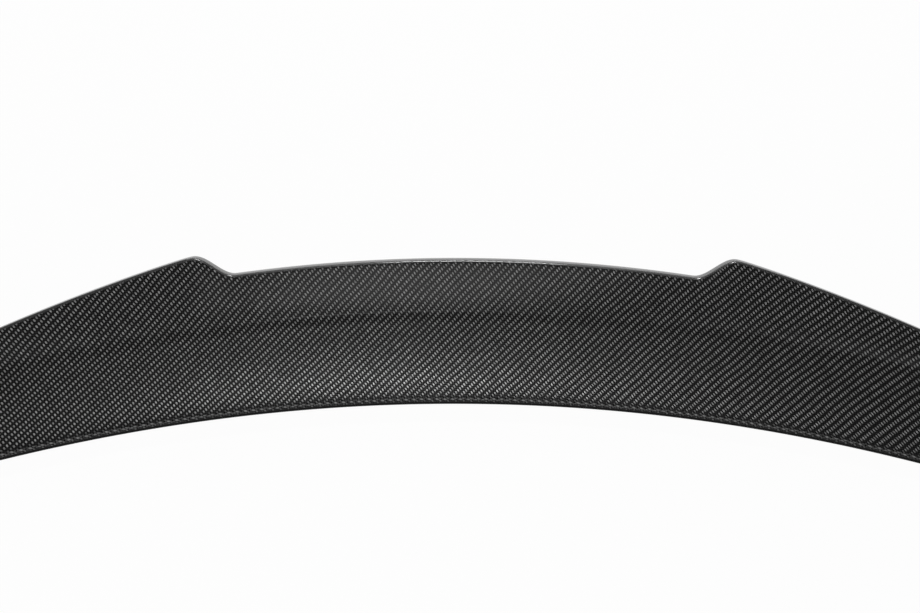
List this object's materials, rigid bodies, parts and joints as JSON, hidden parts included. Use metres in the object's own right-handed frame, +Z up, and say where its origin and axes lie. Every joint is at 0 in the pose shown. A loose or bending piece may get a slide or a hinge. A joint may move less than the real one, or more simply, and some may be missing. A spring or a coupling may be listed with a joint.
{
  "type": "car rear spoiler",
  "caption": "Boot-lid spoiler moulded in clear-coated twill carbon fibre: a low front face, a kicked-up rear face with a recessed middle, and foam tape underneath.",
  "frame": {"origin": "middle of the width and of the depth, at the level of the surface that the spoiler rests on", "axes": "+X across the car, from tip to tip; +Y towards the trailing lip, the car's rear; +Z up"},
  "size_m": [1.2, 0.2511, 0.0994],
  "materials": {
    "spoiler_shell": "clear-coated twill carbon-fibre laminate",
    "front_tape": "black acrylic foam tape",
    "rear_tape": "black acrylic foam tape",
    "front_tape_liner": "red release film",
    "rear_tape_liner": "red release film"
  },
  "bodies": {
    "root": {"spoiler_shell": "spoiler_shell", "front_tape": "front_tape", "rear_tape": "rear_tape", "front_tape_liner": "front_tape_liner", "rear_tape_liner": "rear_tape_liner"}
  },
  "joints": []
}
